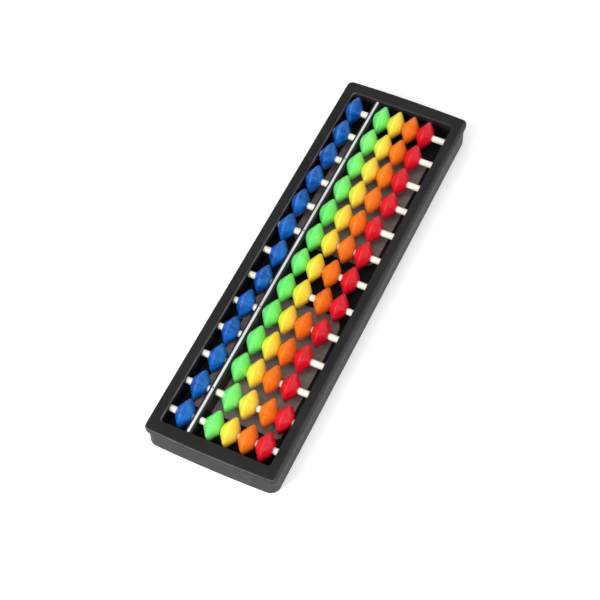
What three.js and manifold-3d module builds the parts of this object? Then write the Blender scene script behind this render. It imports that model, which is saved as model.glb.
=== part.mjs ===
// A thirteen-rod desk abacus with one bead above the beam and four below it on every rod.
// Millimetres, +Z up. X runs along the long side, with rod 1 at the +X end, and +Y points
// from the earth deck (four beads a rod) across the beam to the heaven deck (one bead a rod).
// The origin is the middle of the underside.
import * as THREE from 'three';
import * as BufferGeometryUtils from 'three/addons/utils/BufferGeometryUtils.js';
import Module from 'manifold-3d';

const wasm = await Module();
wasm.setup();

const fitGap = 0.3;

const rods = {
  count: 13, pitch: 17.5, radius: 1.8, height: 12.4, earthEnd: -31.8, heavenEnd: 32.3, sides: 12,
};
const frame = {
  length: 244, width: 71.8, height: 16, topThickness: 2, innerWall: 1.4, outerWall: 2.6,
  wallInset: 0.5, wallCorner: 5, lipCorner: 3, lipDepth: 3.2, lipCove: 0.8,
  topRound: 1.1, bottomRound: 1.2, cornerSteps: 5, roundSteps: 3, endBow: 0.8, bowSteps: 6,
};
const windowCut = {
  halfLength: 114.7, earthEdge: -29.2, heavenEdge: 29.8, corner: 1.6, rimRound: 0.8,
};
const tray = {
  floor: 2.6, fieldInner: 17, fieldOuter: 94.5, fieldEarth: -24.2, fieldHeaven: 24,
  innerCorner: 8, outerCorner: 2.5, fieldDepth: 0.5,
};
const beam = {
  earthFace: 13.25, heavenFace: 16.85, top: 14.9, halfLength: 115.9,
  stripCentre: 15.1, stripWidth: 1.3, stripHeight: 0.6, stripHalfLength: 114.4,
};
const bead = {
  thickness: 8.6, radius: 8.05, shoulderRadius: 6.25, shoulderHeight: 1.8,
  hubRadius: 3.1, boreRadius: 2.1, sides: 12,
};

// How the beads were left, rod by rod from rod 1: the space between the beam and the heaven
// bead, then between the beam and the first earth bead and between each earth bead and the next.
const heavenGaps = [4.1, 3.8, 3.8, 4.1, 4.15, 3.6, 0.2, 0.5, 1.9, 1.6, 0.4, 1.2, 0.5];
const earthGaps = [
  [0.2, 0, 0.2, 0.2],
  [0.2, 0, 0.2, 0.2],
  [0.3, 0, 0.2, 0.2],
  [0.3, 0.5, 0.6, 0.4],
  [0.2, 0, 0.2, 0.3],
  [0.3, 0.3, 1.0, 0.8],
  [0.2, 0, 0.6, 1.9],
  [0.3, 0.5, 3.3, 0.4],
  [0.7, 0.3, 0.5, 0.9],
  [0.3, 0, 0.2, 0.3],
  [0.4, 0, 0.2, 1.4],
  [4.2, 0.7, 2.3, 0],
  [3.1, 0.4, 1.0, 0.9],
];

const finishes = {
  frame: { color: 0x2e2e31, roughness: 0.55 },
  rack: { color: 0xf4eed6, roughness: 0.4 },
  heaven: { color: 0x1450c8, roughness: 0.2 },
  earth: [
    { color: 0x5ae650, roughness: 0.25 }, { color: 0xfae129, roughness: 0.25 },
    { color: 0xff7314, roughness: 0.25 }, { color: 0xeb1928, roughness: 0.2 },
  ],
};

function plastic({ color, roughness }) {
  return new THREE.MeshStandardMaterial({ color, roughness, metalness: 0 });
}

function toSolid(geometry) {
  const bare = geometry.index ? geometry : geometry.clone();
  bare.deleteAttribute('normal');
  bare.deleteAttribute('uv');
  const merged = BufferGeometryUtils.mergeVertices(bare, 1e-4);
  const mesh = new wasm.Mesh({
    numProp: 3,
    vertProperties: new Float32Array(merged.attributes.position.array),
    triVerts: new Uint32Array(merged.index.array),
  });
  return new wasm.Manifold(mesh);
}

function toGeometry(solid) {
  const mesh = solid.getMesh();
  const geometry = new THREE.BufferGeometry();
  geometry.setAttribute('position', new THREE.BufferAttribute(mesh.vertProperties, 3));
  geometry.setIndex(new THREE.BufferAttribute(mesh.triVerts, 1));
  return geometry;
}

// A rounded rectangle, counter-clockwise from its +X +Y corner, as a list of points. Its radius
// is one number for all the corners, or four in that order.
function roundedOutline(lowX, highX, lowY, highY, radius) {
  const radii = Array.isArray(radius) ? radius : [radius, radius, radius, radius];
  const corners = [[highX, highY, -1, -1], [lowX, highY, 1, -1], [lowX, lowY, 1, 1], [highX, lowY, -1, 1]];
  const points = [];
  corners.forEach(([cornerX, cornerY, inX, inY], quarter) => {
    const round = radii[quarter];
    for (let step = 0; step <= frame.cornerSteps; step += 1) {
      const angle = (quarter + step / frame.cornerSteps) * Math.PI / 2;
      points.push(new THREE.Vector2(cornerX + inX * round + round * Math.cos(angle),
        cornerY + inY * round + round * Math.sin(angle)));
    }
  });
  return points;
}

// The two ends of the case swell gently outwards: endBow past the corners at the middle.
function bowEnds(points) {
  const halfWidth = frame.width / 2;
  const bowed = [];
  points.forEach((point, i) => {
    const next = points[(i + 1) % points.length];
    const isEnd = Math.abs(next.x - point.x) < 1e-6 && Math.abs(next.y - point.y) > halfWidth;
    const steps = isEnd ? frame.bowSteps : 1;
    for (let step = 0; step < steps; step += 1) {
      bowed.push(point.clone().lerp(next, step / steps));
    }
  });
  bowed.forEach((point) => {
    point.x += Math.sign(point.x) * frame.endBow * (1 - (point.y / halfWidth) ** 2);
  });
  return bowed;
}

// A closed body through a stack of outlines, lowest first, each { z, points }.
function stack(layers) {
  const count = layers[0].points.length;
  const positions = layers.flatMap(({ z, points }) => points.flatMap((p) => [p.x, p.y, z]));
  const faces = [];
  for (let layer = 0; layer < layers.length - 1; layer += 1) {
    for (let i = 0; i < count; i += 1) {
      const here = layer * count + i;
      const next = layer * count + (i + 1) % count;
      faces.push(here, next, next + count, here, next + count, here + count);
    }
  }
  const last = (layers.length - 1) * count;
  THREE.ShapeUtils.triangulateShape(layers[0].points, []).forEach(([a, b, c]) => {
    faces.push(a, c, b);
    faces.push(last + a, last + b, last + c);
  });
  const geometry = new THREE.BufferGeometry();
  geometry.setAttribute('position', new THREE.Float32BufferAttribute(positions, 3));
  geometry.setIndex(faces);
  return toSolid(geometry);
}

function box(lowX, highX, lowY, highY, lowZ, highZ) {
  const geometry = new THREE.BoxGeometry(highX - lowX, highY - lowY, highZ - lowZ);
  geometry.translate((lowX + highX) / 2, (lowY + highY) / 2, (lowZ + highZ) / 2);
  return toSolid(geometry);
}

// A round bar along Y, turned so that two flats lie level.
function bar(x, lowY, highY, z, radius) {
  const geometry = new THREE.CylinderGeometry(radius, radius, highY - lowY, rods.sides);
  geometry.rotateY(Math.PI / rods.sides);
  geometry.translate(x, (lowY + highY) / 2, z);
  return toSolid(geometry);
}

function frameLayer(z, inset, radius) {
  const halfX = frame.length / 2 - inset;
  const halfY = frame.width / 2 - inset;
  return { z, points: bowEnds(roundedOutline(-halfX, halfX, -halfY, halfY, radius)) };
}

function windowLayer(z, grow) {
  const { halfLength, earthEdge, heavenEdge, corner } = windowCut;
  const points = roundedOutline(-halfLength - grow, halfLength + grow,
    earthEdge - grow, heavenEdge + grow, corner + grow);
  return { z, points };
}

const rodX = (rod) => ((rods.count - 1) / 2 - rod) * rods.pitch;
const rodList = Array.from({ length: rods.count }, (_, rod) => rod);

// The outside of the moulding: a rounded foot, an upright wall, and a lip over a small cove.
function frameOutside() {
  const { height, wallInset, wallCorner, lipCorner, lipDepth, lipCove } = frame;
  const { topRound, bottomRound, roundSteps } = frame;
  const layers = [];
  for (let step = 0; step <= roundSteps; step += 1) {
    const angle = step / roundSteps * Math.PI / 2;
    const extra = bottomRound * (1 - Math.sin(angle));
    layers.push(frameLayer(bottomRound * (1 - Math.cos(angle)), wallInset + extra, wallCorner - extra));
  }
  layers.push(frameLayer(height - lipDepth - lipCove, wallInset, wallCorner));
  layers.push(frameLayer(height - lipDepth, 0, lipCorner));
  for (let step = 0; step <= roundSteps; step += 1) {
    const angle = step / roundSteps * Math.PI / 2;
    const extra = topRound * (1 - Math.cos(angle));
    layers.push(frameLayer(height - topRound * (1 - Math.sin(angle)), extra, lipCorner - extra));
  }
  return stack(layers);
}

// The two halves of the case meet at the rods' centre line, and each has half of every hole that
// a rod end or a beam end sits in.
function cutSeats(solid) {
  const notchHalf = beam.halfLength + fitGap;
  let cut = solid.subtract(box(-notchHalf, notchHalf, beam.earthFace - fitGap,
    beam.heavenFace + fitGap, tray.floor, beam.top + fitGap));
  rodList.forEach((rod) => {
    cut = cut.subtract(bar(rodX(rod), rods.earthEnd - fitGap, rods.heavenEnd + fitGap,
      rods.height, rods.radius + fitGap));
  });
  return cut;
}

// The moulded frame is a hollow rail all round, open underneath, with the window through it.
function topFrame() {
  const { height, topThickness, innerWall, outerWall, wallInset, wallCorner } = frame;
  const below = -1;
  const hollowInset = wallInset + outerWall;
  const hollowCorner = wallCorner - outerWall;
  const window = stack([
    windowLayer(below, 0), windowLayer(height - windowCut.rimRound, 0),
    windowLayer(height - windowCut.rimRound * 0.3, windowCut.rimRound * 0.3),
    windowLayer(height, windowCut.rimRound), windowLayer(height + 1, windowCut.rimRound),
  ]);
  const hollow = stack([
    frameLayer(below, hollowInset, hollowCorner),
    frameLayer(height - topThickness, hollowInset, hollowCorner),
  ]);
  const innerKeep = stack([
    windowLayer(rods.height + fitGap / 2, innerWall), windowLayer(height, innerWall),
  ]);
  return cutSeats(frameOutside().subtract(hollow.subtract(innerKeep)).subtract(window));
}

// The tray closes the frame from below. Its inner walls rise to the rods and carry their ends,
// and its floor has two shallow fields whose corners are rounder towards the middle.
function baseTray() {
  const { floor, fieldDepth, innerCorner, outerCorner } = tray;
  const inset = frame.wallInset + frame.outerWall + fitGap;
  const corner = frame.wallCorner - frame.outerWall - fitGap;
  const plate = stack([frameLayer(0, inset, corner), frameLayer(floor, inset, corner)]);
  const walls = stack([
    windowLayer(floor / 2, frame.innerWall), windowLayer(rods.height - fitGap / 2, frame.innerWall),
  ]);
  const well = stack([windowLayer(floor, 0), windowLayer(rods.height, 0)]);
  let solid = plate.add(walls).subtract(well);
  [-1, 1].forEach((side) => {
    const ends = [side * tray.fieldInner, side * tray.fieldOuter].sort((a, b) => a - b);
    const [highXCorner, lowXCorner] = side > 0 ? [outerCorner, innerCorner] : [innerCorner, outerCorner];
    const points = roundedOutline(ends[0], ends[1], tray.fieldEarth, tray.fieldHeaven,
      [highXCorner, lowXCorner, lowXCorner, highXCorner]);
    solid = solid.subtract(stack([
      { z: floor - fieldDepth, points }, { z: floor + 1, points },
    ]));
  });
  return cutSeats(solid);
}

// The thirteen rods pass through the beam and are fixed in it, so they lift out as one rack.
function rodRack() {
  const { earthFace, heavenFace, top, halfLength } = beam;
  const { stripCentre, stripWidth, stripHeight, stripHalfLength } = beam;
  let solid = box(-halfLength, halfLength, earthFace, heavenFace, tray.floor + fitGap, top);
  solid = solid.add(box(-stripHalfLength, stripHalfLength, stripCentre - stripWidth / 2,
    stripCentre + stripWidth / 2, top - 1, top + stripHeight));
  rodList.forEach((rod) => {
    solid = solid.add(bar(rodX(rod), rods.earthEnd, rods.heavenEnd, rods.height, rods.radius));
  });
  return solid;
}

// One turned body of one bead, or of neighbours that touch hub to hub, along Y and centred.
function beadGeometry(count) {
  const { thickness, radius, shoulderRadius, shoulderHeight, hubRadius, boreRadius } = bead;
  const start = -count * thickness / 2;
  const profile = [new THREE.Vector2(boreRadius, start), new THREE.Vector2(hubRadius, start)];
  for (let i = 0; i < count; i += 1) {
    const middle = start + (i + 0.5) * thickness;
    profile.push(new THREE.Vector2(shoulderRadius, middle - shoulderHeight));
    profile.push(new THREE.Vector2(radius, middle));
    profile.push(new THREE.Vector2(shoulderRadius, middle + shoulderHeight));
    profile.push(new THREE.Vector2(hubRadius, middle + thickness / 2));
  }
  profile.push(new THREE.Vector2(boreRadius, -start), new THREE.Vector2(boreRadius, start));
  return new THREE.LatheGeometry(profile, bead.sides);
}

const group = new THREE.Group();

function place(name, geometry, material, x = 0, y = 0, z = 0) {
  const mesh = new THREE.Mesh(geometry, material);
  mesh.name = name;
  mesh.position.set(x, y, z);
  group.add(mesh);
}

place('top_frame', toGeometry(topFrame()), plastic(finishes.frame));
place('base_tray', toGeometry(baseTray()), plastic(finishes.frame));
place('rod_rack', toGeometry(rodRack()), plastic(finishes.rack));

rodList.forEach((rod) => {
  const rodName = String(rod + 1).padStart(2, '0');
  const x = rodX(rod);
  const heavenY = beam.heavenFace + heavenGaps[rod] + bead.thickness / 2;
  place(`heaven_bead_${rodName}`, beadGeometry(1), plastic(finishes.heaven),
    x, heavenY, rods.height);
  let edge = beam.earthFace;
  let first = 0;
  while (first < 4) {
    // A bead whose outer neighbour touches it shares that neighbour's node.
    const count = first < 3 && earthGaps[rod][first + 1] === 0 ? 2 : 1;
    edge -= earthGaps[rod][first];
    const centre = edge - count * bead.thickness / 2;
    const label = count === 2 ? `earth_beads_${rodName}_${first + 1}_${first + 2}`
      : `earth_bead_${rodName}_${first + 1}`;
    place(label, beadGeometry(count), plastic(finishes.earth[first]), x, centre, rods.height);
    edge -= count * bead.thickness;
    first += count;
  }
});

export default group;
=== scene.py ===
# A thirteen-rod abacus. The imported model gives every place; this script makes the fine meshes,
# the finishes, the light and the camera. Lengths are in metres, written with mm.
import math
import random

import bmesh
import bpy
from mathutils import Matrix, Vector


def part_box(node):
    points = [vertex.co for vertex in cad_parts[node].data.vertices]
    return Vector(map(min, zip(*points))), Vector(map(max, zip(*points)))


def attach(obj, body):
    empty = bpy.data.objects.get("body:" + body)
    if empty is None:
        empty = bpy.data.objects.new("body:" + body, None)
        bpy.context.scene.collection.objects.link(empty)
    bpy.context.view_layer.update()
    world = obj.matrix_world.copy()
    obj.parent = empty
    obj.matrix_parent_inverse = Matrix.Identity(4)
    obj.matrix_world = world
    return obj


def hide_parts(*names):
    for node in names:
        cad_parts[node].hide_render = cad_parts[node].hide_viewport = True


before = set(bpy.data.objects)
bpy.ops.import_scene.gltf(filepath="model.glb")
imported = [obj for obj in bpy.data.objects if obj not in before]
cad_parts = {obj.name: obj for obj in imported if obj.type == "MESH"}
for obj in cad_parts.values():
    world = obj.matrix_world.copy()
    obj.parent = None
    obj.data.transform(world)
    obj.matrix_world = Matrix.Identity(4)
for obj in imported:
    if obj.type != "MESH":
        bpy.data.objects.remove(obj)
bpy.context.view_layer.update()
mm = 0.001
mergeDistance = 0.002 * mm
print("frame loaded:", len(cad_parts), "nodes")


class Flow:
    # one output socket; arithmetic on it adds Math nodes to its tree
    def __init__(self, tree, socket):
        self.tree = tree
        self.socket = socket

    def maths(self, operation, *values):
        return self.tree.node("ShaderNodeMath", {"operation": operation}, dict(enumerate(values)))

    def __add__(self, other):
        return self.maths("ADD", self, other)

    def __radd__(self, other):
        return self.maths("ADD", other, self)

    def __sub__(self, other):
        return self.maths("SUBTRACT", self, other)

    def __rsub__(self, other):
        return self.maths("SUBTRACT", other, self)

    def __mul__(self, other):
        return self.maths("MULTIPLY", self, other)

    def __truediv__(self, other):
        return self.maths("DIVIDE", self, other)

    def __pow__(self, other):
        return self.maths("POWER", self, other)

    def __abs__(self):
        return self.maths("ABSOLUTE", self)

    def root(self):
        return self.maths("SQRT", self)

    def sine(self):
        return self.maths("SINE", self)

    def cosine(self):
        return self.maths("COSINE", self)

    def above(self, low, high):
        # 0 below low, 1 above high, eased between
        settings = {"interpolation_type": "SMOOTHSTEP"}
        return self.tree.node("ShaderNodeMapRange", settings,
                              {"Value": self, "From Min": low, "From Max": high})


class Tree:
    def __init__(self, nodeTree):
        self.nodeTree = nodeTree

    def node(self, kind, settings=None, sockets=None, out=0):
        made = self.nodeTree.nodes.new(kind)
        for name, value in (settings or {}).items():
            setattr(made, name, value)
        for key, value in (sockets or {}).items():
            if isinstance(value, Flow):
                self.nodeTree.links.new(value.socket, made.inputs[key])
            elif value is not None:
                made.inputs[key].default_value = value
        return Flow(self, made.outputs[out])

    def parts(self, vector):
        split = self.node("ShaderNodeSeparateXYZ", None, {"Vector": vector})
        outputs = split.socket.node.outputs
        return [Flow(self, outputs[axis]) for axis in range(3)]

    def combine(self, x, y, z):
        return self.node("ShaderNodeCombineXYZ", None, {"X": x, "Y": y, "Z": z})


class Finish(Tree):
    # a material around one Principled shader
    def __init__(self, name, **constants):
        self.material = bpy.data.materials.new(name)
        self.material.use_nodes = True
        super().__init__(self.material.node_tree)
        self.shader = self.nodeTree.nodes["Principled BSDF"]
        for socket, value in constants.items():
            self.shader.inputs[socket.replace("_", " ")].default_value = value
        self.place = self.node("ShaderNodeTexCoord", out="Object")

    def feed(self, **links):
        for socket, flow in links.items():
            self.nodeTree.links.new(flow.socket, self.shader.inputs[socket.replace("_", " ")])

    def stretched(self, x, y, z):
        return self.node("ShaderNodeMapping", None, {"Vector": self.place, "Scale": (x, y, z)})

    def noise(self, size, detail=3.0, roughness=0.55, vector=None):
        return self.node("ShaderNodeTexNoise", None, {
            "Vector": vector or self.place, "Scale": 1 / size, "Detail": detail,
            "Roughness": roughness})

    def mix(self, mask, first, second):
        settings = {"data_type": "RGBA"}
        sockets = {0: mask, 6: first, 7: second}
        return self.node("ShaderNodeMix", settings, sockets, out=2)

    def bump(self, height, distance, strength=1.0, normal=None):
        return self.node("ShaderNodeBump", None, {
            "Height": height, "Distance": distance, "Strength": strength, "Normal": normal})


def newGeometryTree(name, inputs):
    # inputs: (name, socket type, default); returns the tree, its input flows and its identifiers
    nodeTree = bpy.data.node_groups.new(name, "GeometryNodeTree")
    nodeTree.interface.new_socket("Geometry", in_out="INPUT", socket_type="NodeSocketGeometry")
    identifiers = {}
    for label, kind, default in inputs:
        socket = nodeTree.interface.new_socket(label, in_out="INPUT", socket_type=kind)
        if default is not None:
            socket.default_value = default
        identifiers[label] = socket.identifier
    nodeTree.interface.new_socket("Geometry", in_out="OUTPUT", socket_type="NodeSocketGeometry")
    tree = Tree(nodeTree)
    source = nodeTree.nodes.new("NodeGroupInput")
    flows = {socket.name: Flow(tree, socket) for socket in source.outputs if socket.name}
    return tree, flows, identifiers


def endGeometryTree(tree, geometry, material):
    real = tree.node("GeometryNodeRealizeInstances", None, {"Geometry": geometry})
    painted = tree.node("GeometryNodeSetMaterial", None, {"Geometry": real, "Material": material})
    sink = tree.nodeTree.nodes.new("NodeGroupOutput")
    tree.nodeTree.links.new(painted.socket, sink.inputs[0])


def grow(name, tree, identifiers, values, base=None, sharpAngle=35):
    # runs a geometry tree on a mesh and keeps the result as a plain mesh
    host = bpy.data.objects.new(name, base or bpy.data.meshes.new(name))
    bpy.context.scene.collection.objects.link(host)
    modifier = host.modifiers.new("shape", "NODES")
    modifier.node_group = tree.nodeTree
    for label, value in values.items():
        modifier[identifiers[label]] = value
    bpy.context.view_layer.update()
    evaluated = host.evaluated_get(bpy.context.evaluated_depsgraph_get())
    mesh = bpy.data.meshes.new_from_object(evaluated)
    host.modifiers.remove(modifier)
    host.data = mesh
    mesh.name = name
    tidyMesh(mesh, sharpAngle)
    return host


def tidyMesh(mesh, sharpAngle):
    work = bmesh.new()
    work.from_mesh(mesh)
    bmesh.ops.remove_doubles(work, verts=work.verts, dist=mergeDistance)
    bmesh.ops.dissolve_degenerate(work, dist=mergeDistance / 2, edges=work.edges)
    bmesh.ops.recalc_face_normals(work, faces=work.faces)
    work.to_mesh(mesh)
    work.free()
    mesh.shade_smooth()
    mesh.set_sharp_from_angle(angle=math.radians(sharpAngle))


def middle(node):
    low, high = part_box(node)
    return (Vector(low) + Vector(high)) / 2


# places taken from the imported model
rodTotal = sum(node.startswith("heaven_bead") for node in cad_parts)
rodPlaces = [middle(f"heaven_bead_{rod:02d}") for rod in range(1, rodTotal + 1)]
rodPitch = rodPlaces[0].x - rodPlaces[1].x
rodHeight = rodPlaces[0].z
rackLow, rackHigh = map(Vector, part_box("rod_rack"))
rodLength = rackHigh.y - rackLow.y
firstRodMiddle = (rodPlaces[0].x, (rackHigh.y + rackLow.y) / 2, rodHeight)
caseHigh = Vector(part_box("top_frame")[1])


# the black plastic: sizes of its patterns, how each piece differs, and where the case's top edges
# are worn and painted lighter as a highlight
moulding = {"cloud": 38 * mm, "speck": 0.55 * mm, "rub": 9 * mm, "texture": 0.32 * mm,
            "wave": 22 * mm, "waveHeight": 0.12 * mm}
blackPlastics = {
    "case": {"dark": (0.0134, 0.013, 0.0134, 1), "light": (0.0192, 0.0185, 0.019, 1),
             "roughness": 0.48, "grain": 0.035 * mm, "gloss": 0.14, "wornHighlitTop": caseHigh.z},
    "tray": {"dark": (0.005, 0.005, 0.0055, 1), "light": (0.009, 0.0085, 0.0085, 1),
             "roughness": 0.62, "grain": 0.03 * mm, "gloss": 0.2},
    "beam": {"dark": (0.012, 0.0115, 0.0125, 1), "light": (0.018, 0.017, 0.018, 1),
             "roughness": 0.45, "grain": 0.025 * mm, "gloss": 0.35},
}
# each pair is where that mark begins and where it is full; the edges' tone is a painted highlight
# on worn plastic, the band's tone a lighter grey
wearHighlightAndBand = {"edgeBelowTop": (1.0 * mm, 0.4 * mm), "faceBelowTop": (0.14 * mm, 0.04 * mm),
        "ends": (119.5 * mm, 121 * mm), "sides": (33 * mm, 34.5 * mm),
        "earthBand": (33.2 * mm, 35.2 * mm), "earthBandBelowTop": (1.2 * mm, 0.5 * mm),
        "wornEdgeHighlightTone": (0.15, 0.148, 0.148, 1), "earthBandTone": (0.056, 0.054, 0.053, 1),
        "all": 0.06, "atEnds": 0.4, "atWindow": 0.6, "atEarthBand": 0.75}


def addWearHighlightAndBand(finish, tone, rub, top):
    # the rounded edges round the top face are worn, and painted lighter as a highlight that is
    # strongest at the ends and on window rims facing -Y; a lighter band runs along the earth side's
    # top face; gives the new tone and the share of worn, highlit edge
    x, y, height = finish.parts(finish.place)

    def reaches(zone):
        return height.above(*(top - depth for depth in wearHighlightAndBand[zone]))

    edge = reaches("edgeBelowTop") * (1 - reaches("faceBelowTop"))
    ends = abs(x).above(*wearHighlightAndBand["ends"])
    sides = abs(y).above(*wearHighlightAndBand["sides"])
    facing = finish.parts(finish.node("ShaderNodeNewGeometry", out="Normal"))[1]
    facingMinusY = (0.0 - facing).above(0.1, 0.5)
    # painted highlight: how much lighter tone each edge takes, most at the ends and on window rims
    # facing -Y
    wearAndHighlightWeight = wearHighlightAndBand["all"] + ends * wearHighlightAndBand["atEnds"] + (1 - sides) * facingMinusY * wearHighlightAndBand["atWindow"]
    wornAndHighlit = edge * wearAndHighlightWeight * (0.6 + rub.above(0.35, 0.65) * 0.4)
    tone = finish.mix(wornAndHighlit, tone, wearHighlightAndBand["wornEdgeHighlightTone"])
    earthBand = (0.0 - y).above(*wearHighlightAndBand["earthBand"]) * reaches("earthBandBelowTop")  # a lighter band on the top face along the earth side's outer edge
    return finish.mix(earthBand * wearHighlightAndBand["atEarthBand"], tone, wearHighlightAndBand["earthBandTone"]), wornAndHighlit


def makeMoulded(name, dark, light, roughness, grain, gloss, wornHighlitTop=None):
    # black plastic with the fine spark texture of its mould, and rubbed patches; on the case its
    # top edges are worn and painted lighter as a highlight
    finish = Finish(name, Specular_IOR_Level=gloss)
    cloud = finish.noise(moulding["cloud"], detail=4)
    tone = finish.mix(cloud.above(0.35, 0.7), dark, light)
    speck = finish.noise(moulding["speck"], detail=1)
    tone = finish.mix(speck.above(0.62, 0.75) * 0.35, tone, light)
    rub = finish.noise(moulding["rub"], detail=5, roughness=0.65)
    shine = roughness - rub.above(0.45, 0.75) * 0.07 + (speck - 0.5) * 0.12
    if wornHighlitTop:
        # worn top edges painted lighter as a highlight, and a lighter band along the earth side
        tone, wornAndHighlit = addWearHighlightAndBand(finish, tone, rub, wornHighlitTop)
        shine = shine - wornAndHighlit * 0.1
    texture = finish.noise(moulding["texture"], detail=2)
    waves = finish.bump(finish.noise(moulding["wave"], detail=1), moulding["waveHeight"], 0.6)
    finish.feed(Base_Color=tone, Roughness=shine,
                Normal=finish.bump(texture, grain, 0.55, waves))
    return finish.material


fieldLook = {"dark": (0.235, 0.19, 0.178, 1), "light": (0.31, 0.258, 0.243, 1),
             "speck": (0.37, 0.315, 0.298, 1), "cloud": 17 * mm, "grain": 0.7 * mm,
             "grainDepth": 0.08 * mm, "gloss": 0.25}


def makeField():
    # the recessed floor fields: coarser, matt and warmer than the frame
    finish = Finish("floorField", Specular_IOR_Level=fieldLook["gloss"])
    cloud = finish.noise(fieldLook["cloud"], detail=5)
    tone = finish.mix(cloud.above(0.3, 0.72), fieldLook["dark"], fieldLook["light"])
    grains = finish.node("ShaderNodeTexVoronoi", None, {
        "Vector": finish.place, "Scale": 1 / fieldLook["grain"]})
    tone = finish.mix(grains.above(0.35, 0.7) * 0.45, tone, fieldLook["speck"])
    finish.feed(Base_Color=tone, Roughness=0.72 + cloud * 0.16,
                Normal=finish.bump(grains, fieldLook["grainDepth"], 0.6))
    return finish.material


rodLook = {"dark": (0.76, 0.735, 0.61, 1), "light": (0.82, 0.8, 0.69, 1),
           "drawnTone": (0.64, 0.6, 0.46, 1), "drawn": 1.1 * mm, "cloud": 14 * mm,
           "drawnDepth": 0.03 * mm, "scatter": (0.8 * mm, 0.6 * mm, 0.35 * mm)}


def makeRodPlastic():
    finish = Finish("rodCream", Specular_IOR_Level=0.5, Subsurface_Weight=0.12,
                    Subsurface_Radius=rodLook["scatter"], Subsurface_Scale=1.0)
    drawn = finish.noise(rodLook["drawn"], detail=3, vector=finish.stretched(1, 0.05, 1))
    cloud = finish.noise(rodLook["cloud"], detail=3)
    tone = finish.mix(cloud.above(0.35, 0.7), rodLook["dark"], rodLook["light"])
    tone = finish.mix(drawn.above(0.55, 0.8) * 0.18, tone, rodLook["drawnTone"])
    finish.feed(Base_Color=tone, Roughness=0.3 + drawn * 0.16,
                Normal=finish.bump(drawn, rodLook["drawnDepth"], 0.5))
    return finish.material


beadColours = {
    "bead_blue": {"deep": (0.001, 0.016, 0.17, 1), "pale": (0.01, 0.15, 0.58, 1), "mottle": 0.85},
    "bead_green": {"deep": (0.11, 0.72, 0.125, 1), "pale": (0.29, 0.94, 0.27, 1), "mottle": 0.3},
    "bead_yellow": {"deep": (0.83, 0.64, 0.04, 1), "pale": (0.91, 0.79, 0.11, 1), "mottle": 0.3},
    "bead_orange": {"deep": (0.74, 0.12, 0.006, 1), "pale": (0.87, 0.26, 0.02, 1), "mottle": 0.35},
    "bead_red": {"deep": (0.5, 0.002, 0.008, 1), "pale": (0.76, 0.01, 0.03, 1), "mottle": 0.6},
}
# sizes of the patterns in the beads; flow and line are in the grain attribute's own units
beadLook = {"swirl": 4.2 * mm, "batch": 46 * mm, "glint": 1.3 * mm, "handling": 0.9 * mm,
            "sink": 2.8 * mm, "sinkDepth": 0.3 * mm, "flow": 0.16, "line": 0.045,
            "lineDepth": 0.012 * mm, "gloss": 0.36, "coat": 0.24, "coatRoughness": 0.07}


def makeBeadPlastic(name, deep, pale, mottle):
    # dyed plastic, unevenly mixed, with flow lines from hub to rim and hairline handling marks
    finish = Finish(name, Specular_IOR_Level=beadLook["gloss"],
                    Coat_Roughness=beadLook["coatRoughness"], IOR=1.5)
    grain = finish.node("ShaderNodeAttribute", {"attribute_name": "grain"}, out=1)
    swirl = finish.noise(beadLook["swirl"], detail=4, roughness=0.6)
    flow = finish.noise(beadLook["flow"], detail=4, roughness=0.6, vector=grain)
    mixed = (swirl * 0.55 + flow * 0.45).above(0.5 - 0.18 * mottle, 0.6)
    batch = finish.noise(beadLook["batch"], detail=1)
    tone = finish.mix(mixed * mottle, deep, pale)
    tone = finish.mix(batch.above(0.3, 0.75) * 0.35, tone, pale)
    line = finish.noise(beadLook["line"], detail=3, vector=grain)
    tone = finish.mix(line.above(0.56, 0.76) * 0.2, tone, pale)
    glint = finish.noise(beadLook["glint"], detail=2, roughness=0.7)
    bright = tuple(min(1.0, channel * 1.25 + 0.05) for channel in pale[:3]) + (1,)
    tone = finish.mix(glint.above(0.66, 0.74) * 0.5 * mottle, tone, bright)
    mark = finish.noise(beadLook["handling"], detail=2, vector=finish.stretched(0.25, 1, 1.6))
    sink = finish.noise(beadLook["sink"], detail=2)
    soft = finish.bump(sink, beadLook["sinkDepth"], 0.15 + 0.45 * mottle)
    finish.feed(Base_Color=tone, Roughness=0.27 + mark.above(0.55, 0.8) * 0.12 + flow * 0.08,
                Coat_Weight=beadLook["coat"] - mark.above(0.6, 0.85) * 0.16,
                Normal=finish.bump(line, beadLook["lineDepth"], 0.5, soft))
    return finish.material


stripLook = {"dark": (0.66, 0.66, 0.7, 1), "light": (0.82, 0.81, 0.84, 1),
             "brushing": 0.4 * mm, "cloud": 30 * mm, "brushDepth": 0.01 * mm}


def makeStripFoil():
    # pale foil strip with faint lengthwise brushing
    finish = Finish("stripFoil", Specular_IOR_Level=0.5, Metallic=0.3)
    brushed = finish.noise(stripLook["brushing"], detail=3, vector=finish.stretched(0.04, 1, 1))
    cloud = finish.noise(stripLook["cloud"], detail=2)
    tone = finish.mix(cloud.above(0.35, 0.7), stripLook["dark"], stripLook["light"])
    finish.feed(Base_Color=tone, Roughness=0.26 + brushed * 0.2,
                Normal=finish.bump(brushed, stripLook["brushDepth"], 0.4))
    return finish.material


inkLook = {"dark": (0.012, 0.012, 0.014, 1), "light": (0.03, 0.03, 0.032, 1), "speck": 0.2 * mm}


def makeInk():
    finish = Finish("dotInk", Specular_IOR_Level=0.3)
    speck = finish.noise(inkLook["speck"], detail=2)
    tone = finish.mix(speck, inkLook["dark"], inkLook["light"])
    finish.feed(Base_Color=tone, Roughness=0.45 + speck * 0.2)
    return finish.material


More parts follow.
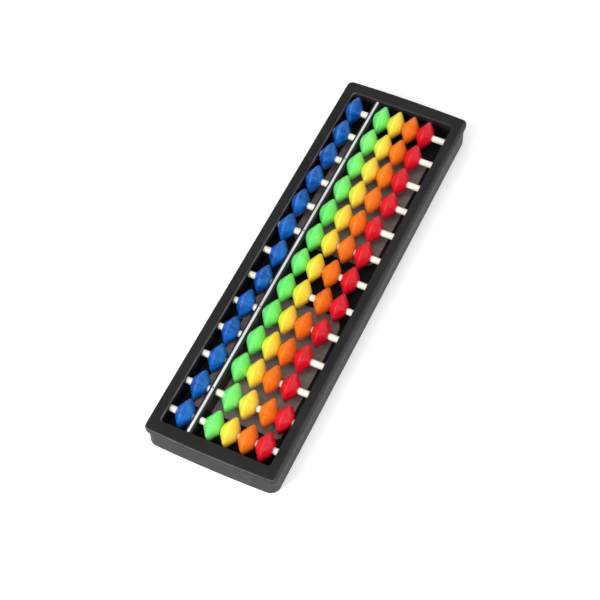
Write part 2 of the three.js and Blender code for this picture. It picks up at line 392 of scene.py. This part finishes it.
finishes = {name: makeMoulded(name + "Black", **recipe) for name, recipe in blackPlastics.items()}
finishes.update(field=makeField(), rod=makeRodPlastic(), strip=makeStripFoil(), ink=makeInk())
for slotName, recipe in beadColours.items():
    finishes[slotName] = makeBeadPlastic(slotName.replace("bead_", "") + "Bead", **recipe)
print("finishes made:", len(finishes))


def roundedLoop(low, high, radius, z, cornerSteps=14):
    # counter-clockwise rounded rectangle between two corners, from its +X +Y corner;
    # radius is one number, or four in that order
    radii = radius if isinstance(radius, list) else [radius] * 4
    corners = [(high[0], high[1], -1, -1), (low[0], high[1], 1, -1),
               (low[0], low[1], 1, 1), (high[0], low[1], -1, 1)]
    points = []
    for quarter, (x, y, inX, inY) in enumerate(corners):
        turn = radii[quarter]
        for step in range(cornerSteps + 1):
            angle = (quarter + step / cornerSteps) * math.pi / 2
            points.append((x + turn * (inX + math.cos(angle)),
                           y + turn * (inY + math.sin(angle)), z))
    return points


def arc(steps):
    # sine and cosine pairs along a quarter circle
    for step in range(steps + 1):
        angle = math.radians(90 * step / steps)
        yield math.sin(angle), math.cos(angle)


def loft(name, loops, closed):
    # joins loops in order; closed runs on from the last to the first, else both ends are capped
    count = len(loops[0])
    vertices = [point for loop in loops for point in loop]
    faces = []
    for ring in range(len(loops) if closed else len(loops) - 1):
        following = (ring + 1) % len(loops)
        for i in range(count):
            j = (i + 1) % count
            faces.append((ring * count + i, ring * count + j, following * count + j,
                          following * count + i))
    if not closed:
        last = (len(loops) - 1) * count
        faces.append(tuple(reversed(range(count))))
        faces.append(tuple(range(last, last + count)))
    mesh = bpy.data.meshes.new(name)
    mesh.from_pydata(vertices, [], faces)
    mesh.validate()
    return mesh


# rods and beam leave seats in both halves of the case, so their shapes come first
rodShape = {"radius": 1.8 * mm, "seatRadius": 2.0 * mm, "sides": 40, "segments": 8}
beamShape = {"earthFace": 13.25 * mm, "heavenFace": 16.85 * mm, "stripRise": 0.6 * mm,
             "edge": 0.4 * mm, "corner": 0.52 * mm, "edgeSteps": 5, "seatGap": 0.2 * mm}
beamShape["top"] = rackHigh.z - beamShape["stripRise"]
beamShape["foot"] = rackLow.z


def makeSeatTree():
    tree, given, identifiers = newGeometryTree("seats", [
        ("Count", "NodeSocketInt", rodTotal), ("Pitch", "NodeSocketFloat", rodPitch),
        ("Radius", "NodeSocketFloat", rodShape["seatRadius"]),
        ("First", "NodeSocketVector", None), ("Length", "NodeSocketFloat", rodLength),
        ("Notch Size", "NodeSocketVector", None), ("Notch Middle", "NodeSocketVector", None),
        ("Material", "NodeSocketMaterial", None)])
    step = tree.combine(0.0 - given["Pitch"], 0.0, 0.0)
    places = tree.node("GeometryNodeMeshLine", None, {
        "Count": given["Count"], "Start Location": given["First"], "Offset": step})
    seat = tree.node("GeometryNodeMeshCylinder", None, {
        "Vertices": rodShape["sides"], "Radius": given["Radius"], "Depth": given["Length"]})
    seat = tree.node("GeometryNodeTransform", None, {
        "Geometry": seat, "Rotation": (math.pi / 2, 0, 0)})
    cutters = tree.node("GeometryNodeInstanceOnPoints", None, {
        "Points": places, "Instance": seat})
    cutters = tree.node("GeometryNodeRealizeInstances", None, {"Geometry": cutters})
    notch = tree.node("GeometryNodeMeshCube", None, {"Size": given["Notch Size"]})
    notch = tree.node("GeometryNodeTransform", None, {
        "Geometry": notch, "Translation": given["Notch Middle"]})
    cut = given["Geometry"]
    settings = {"operation": "DIFFERENCE", "solver": "EXACT"}
    for cutter in (cutters, notch):
        cut = tree.node("GeometryNodeMeshBoolean", settings, {"Mesh 1": cut, "Mesh 2": cutter})
    endGeometryTree(tree, cut, given["Material"])
    return tree, identifiers


seatTree, seatInputs = makeSeatTree()


def seatValues(material):
    gap = beamShape["seatGap"]
    notchLow = Vector((rackLow.x - gap, beamShape["earthFace"] - gap, beamShape["foot"] - gap))
    notchHigh = Vector((rackHigh.x + gap, beamShape["heavenFace"] + gap, beamShape["top"] + gap))
    return {"Count": rodTotal, "Pitch": rodPitch, "Radius": rodShape["seatRadius"],
            "First": firstRodMiddle, "Length": rodLength + 2 * gap,
            "Notch Size": notchHigh - notchLow, "Notch Middle": (notchHigh + notchLow) / 2,
            "Material": material}


case = {"wallInset": 0.5 * mm, "wallCorner": 5 * mm, "lipCorner": 3 * mm, "lipDepth": 3.2 * mm,
        "coveDepth": 1.0 * mm, "coveGap": 0.1 * mm, "topRound": 1.1 * mm,
        "bottomRound": 1.2 * mm,
        "halfWidth": 35.9 * mm, "endBow": 0.8 * mm, "bowSteps": 32,
        "outerWall": 2.6 * mm, "innerWall": 1.4 * mm, "roof": 2.0 * mm, "rimRound": 1.1 * mm,
        "windowX": 114.7 * mm, "windowEarth": -29.2 * mm, "windowHeaven": 29.8 * mm,
        "windowCorner": 1.6 * mm, "lipUnderRound": 0.35 * mm, "parting": 0.15 * mm,
        "sharpAngle": 32}


def splitEnds(points):
    # adds points along the two straight ends of a loop
    split = []
    for here, after in zip(points, points[1:] + points[:1]):
        alongY = abs(after[0] - here[0]) < 0.0001 * mm
        isEnd = alongY and abs(after[1] - here[1]) > case["halfWidth"]
        steps = case["bowSteps"] if isEnd else 1
        for step in range(steps):
            split.append((here[0], here[1] + (after[1] - here[1]) * step / steps, here[2]))
    return split


def bowEnds(points):
    # the two ends of the case swell gently outwards
    bowed = []
    for x, y, z in splitEnds(points):
        swell = case["endBow"] * (1 - (y / case["halfWidth"]) ** 2)
        bowed.append((x + math.copysign(swell, x), y, z))
    return bowed


def caseLoop(z, inset, radius):
    halfLength = caseHigh.x - case["endBow"] - inset
    halfWidth = case["halfWidth"] - inset
    return bowEnds(roundedLoop((-halfLength, -halfWidth), (halfLength, halfWidth), radius, z))


def windowLoop(z, grown):
    points = roundedLoop((-case["windowX"] - grown, case["windowEarth"] - grown),
                         (case["windowX"] + grown, case["windowHeaven"] + grown),
                         case["windowCorner"] + grown, z)
    return splitEnds(points)


def makeCase():
    top = caseHigh.z
    inset, corner = case["wallInset"], case["wallCorner"]
    loops = []
    for rise, turn in arc(6):  # the foot's round edge
        extra = case["bottomRound"] * (1 - rise)
        loops.append(caseLoop(case["bottomRound"] * (1 - turn), inset + extra, corner - extra))
    lipFoot = top - case["lipDepth"]
    coveStart = lipFoot - case["coveDepth"]
    under = case["lipUnderRound"]
    underInset = under * 0.5
    coveSteps = 6
    for step in range(coveSteps + 1):  # the cove sweeps out from the wall to under the lip
        share = step / coveSteps
        loops.append(caseLoop(coveStart + (case["coveDepth"] - case["coveGap"]) * share,
                              inset - (inset - underInset) * share * share,
                              corner + (case["lipCorner"] - corner) * share ** 1.5))
    for rise, turn in arc(3):  # the lip's lower edge
        extra = underInset * (1 - rise)
        loops.append(caseLoop(lipFoot + under * (1 - turn), extra, case["lipCorner"] - extra))
    for rise, turn in arc(8):  # the round top edge
        extra = case["topRound"] * (1 - turn)
        loops.append(caseLoop(top - case["topRound"] * (1 - rise), extra,
                              case["lipCorner"] - extra))
    rim = case["rimRound"]
    for rise, turn in arc(6):  # over the window's rim
        loops.append(windowLoop(top - rim * (1 - turn), rim * (1 - rise)))
    innerFoot = rodHeight + case["parting"]
    loops.append(windowLoop(innerFoot, 0))
    loops.append(windowLoop(innerFoot, case["innerWall"]))
    roof = top - case["roof"]
    hollow = inset + case["outerWall"]
    loops.append(windowLoop(roof, case["innerWall"]))
    loops.append(caseLoop(roof, hollow, corner - case["outerWall"]))
    loops.append(caseLoop(0, hollow, corner - case["outerWall"]))
    mesh = loft("case", loops, closed=True)
    piece = grow("case", seatTree, seatInputs, seatValues(finishes["case"]), mesh,
                 case["sharpAngle"])
    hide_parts("top_frame")
    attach(piece, "frame")


makeCase()
print("case made")


tray = {"floor": 2.6 * mm, "edge": 0.35 * mm, "corner": 2.1 * mm, "inset": 3.4 * mm,
        "fillet": 0.5 * mm, "fieldInner": 17 * mm, "fieldOuter": 94.5 * mm,
        "fieldEarth": -24.2 * mm, "fieldHeaven": 24 * mm, "innerCorner": 8 * mm,
        "outerCorner": 2.5 * mm, "fieldDepth": 0.5 * mm, "sharpAngle": 32}


def trayLoop(z, inset):
    return caseLoop(z, tray["inset"] + inset, tray["corner"] - inset)


def makeTray():
    floor, edge, fillet = tray["floor"], tray["edge"], tray["fillet"]
    wall = case["innerWall"]
    wallTop = rodHeight - case["parting"]
    loops = [trayLoop(0, edge), trayLoop(edge, 0), trayLoop(floor - edge, 0), trayLoop(floor, edge)]
    loops += [windowLoop(floor, wall), windowLoop(wallTop, wall), windowLoop(wallTop, 0)]
    for rise, turn in arc(5):  # the floor meets its walls in a small fillet
        loops.append(windowLoop(floor + fillet * (1 - rise), -fillet * (1 - turn)))
    mesh = loft("tray", loops, closed=False)
    piece = grow("tray", seatTree, seatInputs, seatValues(finishes["tray"]), mesh,
                 tray["sharpAngle"])
    cutFields(piece)
    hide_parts("base_tray")
    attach(piece, "frame")


def cutFields(piece):
    floor, depth = tray["floor"], tray["fieldDepth"]
    cutters = []
    for side in (-1, 1):
        west, east = sorted((side * tray["fieldInner"], side * tray["fieldOuter"]))
        eastCorner, westCorner = tray["outerCorner"], tray["innerCorner"]
        if side < 0:
            eastCorner, westCorner = westCorner, eastCorner
        radii = [eastCorner, westCorner, westCorner, eastCorner]
        loops = [roundedLoop((west, tray["fieldEarth"]), (east, tray["fieldHeaven"]), radii, z)
                 for z in (floor - depth, floor + depth)]
        cutter = bpy.data.objects.new("fieldCutter", loft("fieldCutter", loops, closed=False))
        bpy.context.scene.collection.objects.link(cutter)
        modifier = piece.modifiers.new("field", "BOOLEAN")
        modifier.object = cutter
        modifier.solver = "EXACT"
        cutters.append(cutter)
    bpy.context.view_layer.update()
    evaluated = piece.evaluated_get(bpy.context.evaluated_depsgraph_get())
    mesh = bpy.data.meshes.new_from_object(evaluated)
    piece.modifiers.clear()
    piece.data = mesh
    for cutter in cutters:
        bpy.data.objects.remove(cutter)
    tidyMesh(mesh, tray["sharpAngle"])
    mesh.materials.clear()
    mesh.materials.append(finishes["tray"])
    mesh.materials.append(finishes["field"])
    for face in mesh.polygons:  # the fields' floors take the matt finish
        isField = abs(face.center.z - (floor - depth)) < 0.05 * mm and face.normal.z > 0.9
        face.material_index = 1 if isField else 0


makeTray()
print("tray made")


def makeRods():
    tree, given, identifiers = newGeometryTree("rods", [
        ("Count", "NodeSocketInt", rodTotal), ("Pitch", "NodeSocketFloat", rodPitch),
        ("Radius", "NodeSocketFloat", rodShape["radius"]),
        ("Length", "NodeSocketFloat", rodLength),
        ("First", "NodeSocketVector", None), ("Material", "NodeSocketMaterial", None)])
    step = tree.combine(0.0 - given["Pitch"], 0.0, 0.0)
    places = tree.node("GeometryNodeMeshLine", None, {
        "Count": given["Count"], "Start Location": given["First"], "Offset": step})
    rod = tree.node("GeometryNodeMeshCylinder", None, {
        "Vertices": rodShape["sides"], "Side Segments": rodShape["segments"],
        "Radius": given["Radius"], "Depth": given["Length"]})
    rod = tree.node("GeometryNodeTransform", None, {
        "Geometry": rod, "Rotation": (math.pi / 2, 0, 0)})
    placed = tree.node("GeometryNodeInstanceOnPoints", None, {"Points": places, "Instance": rod})
    endGeometryTree(tree, placed, given["Material"])
    values = {"Count": rodTotal, "Pitch": rodPitch, "Radius": rodShape["radius"],
              "Length": rodLength, "First": firstRodMiddle, "Material": finishes["rod"]}
    piece = grow("rods", tree, identifiers, values)
    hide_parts("rod_rack")
    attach(piece, "frame")


makeRods()
print("rods made:", rodTotal)


strip = {"middle": 15.1 * mm, "width": 1.3 * mm, "halfLength": 114.4 * mm, "rise": 0.5 * mm,
         "sunk": 0.2 * mm, "edge": 0.22 * mm, "edgeSteps": 4, "cornerShare": 0.9}
dots = {"radius": 0.42 * mm, "rise": 0.05 * mm, "sides": 24, "firstRod": 3, "every": 3}


def slab(name, low, high, edge, steps, corner, material):
    # a bar with rounded top and bottom edges and rounded plan corners
    def loop(extra, z):
        return roundedLoop((low[0] + extra, low[1] + extra), (high[0] - extra, high[1] - extra),
                           corner - extra, z, 6)

    loops = [loop(edge * (1 - rise), low[2] + edge * (1 - turn)) for rise, turn in arc(steps)]
    loops += [loop(edge * (1 - turn), high[2] - edge * (1 - rise)) for rise, turn in arc(steps)]
    mesh = loft(name, loops, closed=False)
    tidyMesh(mesh, 35)
    mesh.materials.append(material)
    piece = bpy.data.objects.new(name, mesh)
    bpy.context.scene.collection.objects.link(piece)
    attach(piece, "frame")


def makeBeam():
    slab("beam", (rackLow.x, beamShape["earthFace"], beamShape["foot"]),
         (rackHigh.x, beamShape["heavenFace"], beamShape["top"]), beamShape["edge"],
         beamShape["edgeSteps"], beamShape["corner"], finishes["beam"])


def makeStrip():
    half = strip["width"] / 2
    slab("strip", (-strip["halfLength"], strip["middle"] - half, beamShape["top"] - strip["sunk"]),
         (strip["halfLength"], strip["middle"] + half, beamShape["top"] + strip["rise"]),
         strip["edge"], strip["edgeSteps"], half * strip["cornerShare"], finishes["strip"])


def makeDots():
    spacing = dots["every"] * rodPitch
    dotRods = range(dots["firstRod"], rodTotal + 1, dots["every"])
    tree, given, identifiers = newGeometryTree("dots", [
        ("Count", "NodeSocketInt", len(dotRods)), ("Spacing", "NodeSocketFloat", spacing),
        ("Radius", "NodeSocketFloat", dots["radius"]), ("First", "NodeSocketVector", None),
        ("Material", "NodeSocketMaterial", None)])
    step = tree.combine(0.0 - given["Spacing"], 0.0, 0.0)
    places = tree.node("GeometryNodeMeshLine", None, {
        "Count": given["Count"], "Start Location": given["First"], "Offset": step})
    dot = tree.node("GeometryNodeMeshCylinder", None, {
        "Vertices": dots["sides"], "Radius": given["Radius"], "Depth": 2 * dots["rise"]})
    placed = tree.node("GeometryNodeInstanceOnPoints", None, {"Points": places, "Instance": dot})
    endGeometryTree(tree, placed, given["Material"])
    first = (rodPlaces[dotRods[0] - 1].x, strip["middle"], beamShape["top"] + strip["rise"])
    values = {"Count": len(dotRods), "Spacing": spacing, "Radius": dots["radius"],
              "First": first, "Material": finishes["ink"]}
    piece = grow("unitDots", tree, identifiers, values)
    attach(piece, "frame")


makeBeam()
makeStrip()
makeDots()
print("beam, strip and unit dots made")


beadShape = {"radius": 8.05 * mm, "halfThickness": 4.3 * mm, "hubRadius": 3.1 * mm,
             "boreRadius": 2.0 * mm, "rimSoftness": 0.55 * mm, "hubRound": 0.1 * mm,
             "sides": 72, "flankRows": 29, "hubRows": 6, "boreRows": 2, "rimCrowding": 0.5,
             "grainDrift": 0.12, "grainSpread": 50, "tiltDegrees": 1.1, "seed": 13,
             "sharpAngle": 42}


def makeBeadTree():
    # a turned shape about Y: the flanks follow a hyperbola, so the rim is a smooth round edge
    tree, given, identifiers = newGeometryTree("bead", [
        ("Radius", "NodeSocketFloat", beadShape["radius"]),
        ("Half Thickness", "NodeSocketFloat", beadShape["halfThickness"]),
        ("Hub Radius", "NodeSocketFloat", beadShape["hubRadius"]),
        ("Bore Radius", "NodeSocketFloat", beadShape["boreRadius"]),
        ("Rim Softness", "NodeSocketFloat", beadShape["rimSoftness"]),
        ("Hub Round", "NodeSocketFloat", beadShape["hubRound"]),
        ("Place", "NodeSocketVector", None), ("Tilt", "NodeSocketVector", None),
        ("Grain Shift", "NodeSocketFloat", 0.0), ("Material", "NodeSocketMaterial", None)])
    reach = given["Half Thickness"] - given["Hub Round"]
    soft = given["Rim Softness"]
    fall = (reach * reach + soft * soft).root() - soft
    slope = (given["Radius"] - given["Hub Radius"]) / fall

    def sheet(rows, rule):
        grid = tree.node("GeometryNodeMeshGrid", None, {
            "Size X": 1.0, "Size Y": 2.0, "Vertices X": beadShape["sides"] + 1,
            "Vertices Y": rows})
        across, along, _ = tree.parts(tree.node("GeometryNodeInputPosition"))
        angle = across * (2 * math.pi)
        radius, height = rule(along)
        sine, cosine = angle.sine(), angle.cosine()
        # the flow lines' coordinates: round the bead by angle, nearly constant from hub to rim
        lines = tree.combine(cosine, sine, along * beadShape["grainDrift"] + given["Grain Shift"])
        marked = tree.node("GeometryNodeStoreNamedAttribute",
                           {"data_type": "FLOAT_VECTOR", "domain": "POINT"},
                           {"Geometry": grid, "Name": "grain", "Value": lines})
        return tree.node("GeometryNodeSetPosition", None, {
            "Geometry": marked, "Position": tree.combine(radius * cosine, height, radius * sine)})

    def flank(along):
        height = reach * along * abs(along) ** beadShape["rimCrowding"]
        return given["Radius"] - slope * ((height * height + soft * soft).root() - soft), height

    def hubFace(end):
        def rule(along):
            share = along * 0.5 + 0.5
            height = given["Half Thickness"] - given["Hub Round"] * (1 - share) ** 3
            width = given["Hub Radius"] - given["Bore Radius"]
            return given["Hub Radius"] - width * share, height * end
        return rule

    def bore(along):
        return given["Bore Radius"], given["Half Thickness"] * along

    sheets = [sheet(beadShape["flankRows"], flank), sheet(beadShape["hubRows"], hubFace(1)),
              sheet(beadShape["hubRows"], hubFace(-1)), sheet(beadShape["boreRows"], bore)]
    joined = tree.nodeTree.nodes.new("GeometryNodeJoinGeometry")
    for part in reversed(sheets):
        tree.nodeTree.links.new(part.socket, joined.inputs[0])
    merged = tree.node("GeometryNodeMergeByDistance", None, {
        "Geometry": Flow(tree, joined.outputs[0]), "Distance": mergeDistance})
    placed = tree.node("GeometryNodeTransform", None, {
        "Geometry": merged, "Translation": given["Place"], "Rotation": given["Tilt"]})
    endGeometryTree(tree, placed, given["Material"])
    return tree, identifiers


beadTree, beadInputs = makeBeadTree()
beadRandom = random.Random(beadShape["seed"])
earthSlots = ["bead_green", "bead_yellow", "bead_orange", "bead_red"]


def makeBead(name, place, slot, node):
    tilt = [math.radians(beadRandom.uniform(-1, 1) * beadShape["tiltDegrees"]) for _ in range(3)]
    turn = beadRandom.uniform(0, 2 * math.pi)
    values = {"Radius": beadShape["radius"], "Half Thickness": beadShape["halfThickness"],
              "Hub Radius": beadShape["hubRadius"], "Bore Radius": beadShape["boreRadius"],
              "Rim Softness": beadShape["rimSoftness"], "Hub Round": beadShape["hubRound"],
              "Place": place, "Tilt": (tilt[0], turn, tilt[2]),
              "Grain Shift": beadRandom.uniform(0, beadShape["grainSpread"]),
              "Material": finishes[slot]}
    piece = grow(name, beadTree, beadInputs, values, sharpAngle=beadShape["sharpAngle"])
    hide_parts(node)
    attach(piece, node)


def makeBeads():
    total = 0
    for node in sorted(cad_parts):
        if "bead" not in node:
            continue
        words = node.split("_")
        centre = middle(node)
        if words[0] == "heaven":
            makeBead(f"bead_{words[2]}_heaven", centre, "bead_blue", node)
            total += 1
            continue
        ranks = [int(word) for word in words[3:]]
        low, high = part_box(node)
        share = (high[1] - low[1]) / len(ranks)
        for order, rank in enumerate(ranks):  # rank 1 is nearest the beam, on the +Y side
            place = Vector((centre.x, high[1] - share * (order + 0.5), centre.z))
            makeBead(f"bead_{words[2]}_earth_{rank}", place, earthSlots[rank - 1], node)
            total += 1
    print("beads made:", total)


makeBeads()


studio = {"floorTone": (0.93, 0.93, 0.925, 1), "floorGlow": 0.2, "floorSize": 6.0,
          "floorRoughness": 0.9, "worldStrength": 0.45,
          "key": {"place": (-0.78, 0.45, 0.7), "size": 0.45, "power": 9.8, "mirrored": True},
          "top": {"place": (-0.4, -0.05, 1.15), "size": 0.8, "power": 5.0, "mirrored": True},
          "side": {"place": (-0.15, -1.0, 0.5), "size": 0.7, "power": 6.3, "mirrored": False}}


def addLamp(name, place, size, power, mirrored):
    # a lamp that isn't mirrored lights the object but doesn't show as a highlight
    lamp = bpy.data.lights.new(name, "AREA")
    lamp.shape = "SQUARE"
    lamp.size = size
    lamp.energy = power
    holder = bpy.data.objects.new(name, lamp)
    bpy.context.scene.collection.objects.link(holder)
    holder.location = place
    holder.rotation_mode = "QUATERNION"
    holder.rotation_quaternion = (-Vector(place)).to_track_quat("-Z", "Y")
    holder.visible_glossy = mirrored


def makeStudio():
    half = studio["floorSize"] / 2
    mesh = bpy.data.meshes.new("studioFloor")
    corners = [(-half, -half, 0), (half, -half, 0), (half, half, 0), (-half, half, 0)]
    mesh.from_pydata(corners, [], [(0, 1, 2, 3)])
    floor = bpy.data.objects.new("studioFloor", mesh)
    bpy.context.scene.collection.objects.link(floor)
    paper = Finish("studioPaper", Roughness=studio["floorRoughness"],
                   Base_Color=studio["floorTone"],
                   Emission_Color=(1, 1, 1, 1), Emission_Strength=studio["floorGlow"])
    mesh.materials.append(paper.material)
    world = bpy.data.worlds.new("studioWorld")
    world.use_nodes = True
    background = world.node_tree.nodes["Background"]
    background.inputs["Color"].default_value = (1, 1, 1, 1)
    background.inputs["Strength"].default_value = studio["worldStrength"]
    bpy.context.scene.world = world
    for name in ("key", "top", "side"):
        addLamp(name, **studio[name])
    bpy.context.scene.view_settings.view_transform = "Standard"


camera = {"target": (-21.3 * mm, -0.9 * mm, rodHeight), "distance": 784.0 * mm,
          "azimuth": -63.05, "elevation": 56.85, "roll": -1.94, "lens": 91.6,
          "nearest": 0.05, "farthest": 20}


def makeCamera():
    data = bpy.data.cameras.new("camera")
    data.lens = camera["lens"]
    data.clip_start, data.clip_end = camera["nearest"], camera["farthest"]
    holder = bpy.data.objects.new("camera", data)
    bpy.context.scene.collection.objects.link(holder)
    around, up = math.radians(camera["azimuth"]), math.radians(camera["elevation"])
    back = Vector((math.sin(around) * math.cos(up), -math.cos(around) * math.cos(up),
                   math.sin(up)))
    aim = (-back).to_track_quat("-Z", "Y").to_matrix().to_4x4()
    roll = Matrix.Rotation(math.radians(camera["roll"]), 4, "Z")
    place = Vector(camera["target"]) + back * camera["distance"]
    holder.matrix_world = Matrix.Translation(place) @ aim @ roll
    bpy.context.scene.camera = holder


makeStudio()
makeCamera()
print("studio made")
